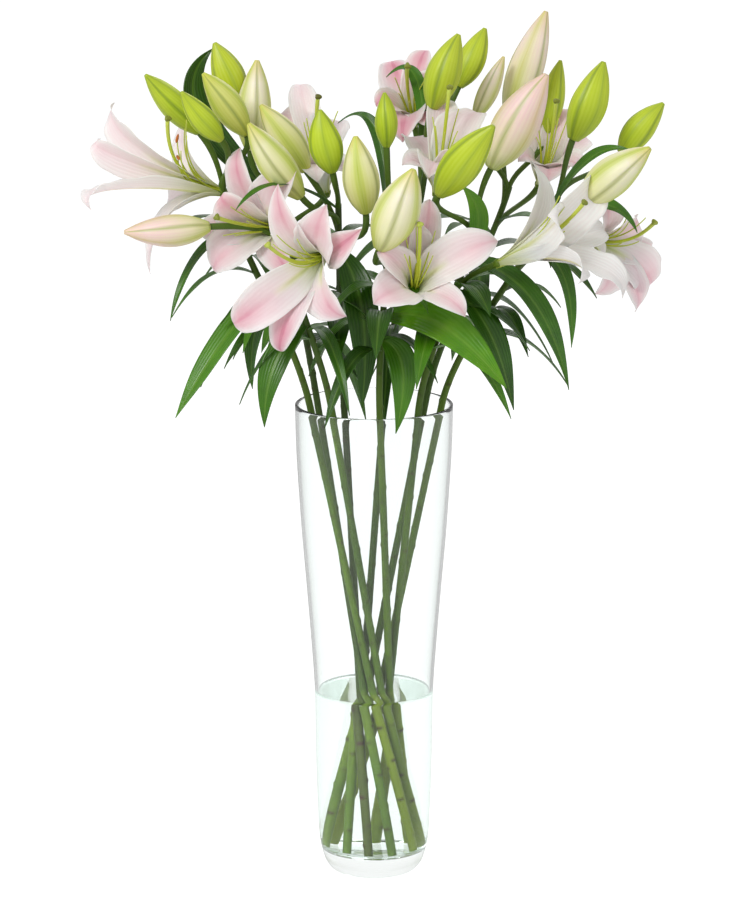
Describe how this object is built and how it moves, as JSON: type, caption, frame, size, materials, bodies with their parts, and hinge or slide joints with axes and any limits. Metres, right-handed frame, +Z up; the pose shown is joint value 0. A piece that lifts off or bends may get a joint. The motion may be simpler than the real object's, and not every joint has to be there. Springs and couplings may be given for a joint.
{
  "type": "lily arrangement in vase",
  "caption": "Pink and white oriental lilies with lime buds and long leaves on crossed green stalks, standing in a tall clear glass vase part filled with water.",
  "frame": {"origin": "centre of the vase's flat underside", "axes": "+Z up along the vase, -Y towards the front of the arrangement, +X to its right seen from the front"},
  "size_m": [0.5711, 0.3159, 0.8648],
  "materials": {
    "clear_glass": "polished",
    "water": "gloss",
    "green_stalk": "satin",
    "green_leaf": "satin",
    "lime_bud": "satin",
    "cream_bud": "satin",
    "pink_petal": "matte",
    "white_petal": "matte"
  },
  "bodies": {
    "root": {"vase": "clear_glass", "stem_1": "green_stalk", "stem_2": "green_stalk", "stem_3": "green_stalk", "stem_4": "green_stalk", "stem_5": "green_stalk", "stem_6": "green_stalk", "stem_7": "green_stalk", "stem_8": "green_stalk", "stem_9": "green_stalk", "bloom_1": "white_petal", "bloom_2": "pink_petal", "bloom_3": "pink_petal", "bloom_4": "pink_petal", "bloom_5": "white_petal", "bloom_6": "pink_petal", "bloom_7": "pink_petal", "bloom_8": "pink_petal", "bloom_9": "pink_petal", "bloom_10": "white_petal", "bud_1": "lime_bud", "bud_2": "lime_bud", "bud_3": "lime_bud", "bud_4": "lime_bud", "bud_5": "cream_bud", "bud_6": "lime_bud", "bud_7": "lime_bud", "bud_8": "lime_bud", "bud_9": "lime_bud", "bud_10": "lime_bud", "bud_11": "cream_bud", "bud_12": "lime_bud", "bud_13": "lime_bud", "bud_14": "lime_bud", "bud_15": "cream_bud", "bud_16": "cream_bud", "bud_17": "cream_bud", "bud_18": "lime_bud", "bud_19": "lime_bud", "bud_20": "lime_bud", "bud_21": "cream_bud", "bud_22": "cream_bud", "leaf_1": "green_leaf", "leaf_2": "green_leaf", "leaf_3": "green_leaf", "leaf_4": "green_leaf", "leaf_5": "green_leaf", "leaf_6": "green_leaf", "leaf_7": "green_leaf", "leaf_8": "green_leaf", "leaf_9": "green_leaf", "leaf_10": "green_leaf", "leaf_11": "green_leaf", "leaf_12": "green_leaf", "leaf_13": "green_leaf", "leaf_14": "green_leaf", "leaf_15": "green_leaf", "leaf_16": "green_leaf", "leaf_17": "green_leaf", "water": "water"}
  },
  "joints": []
}
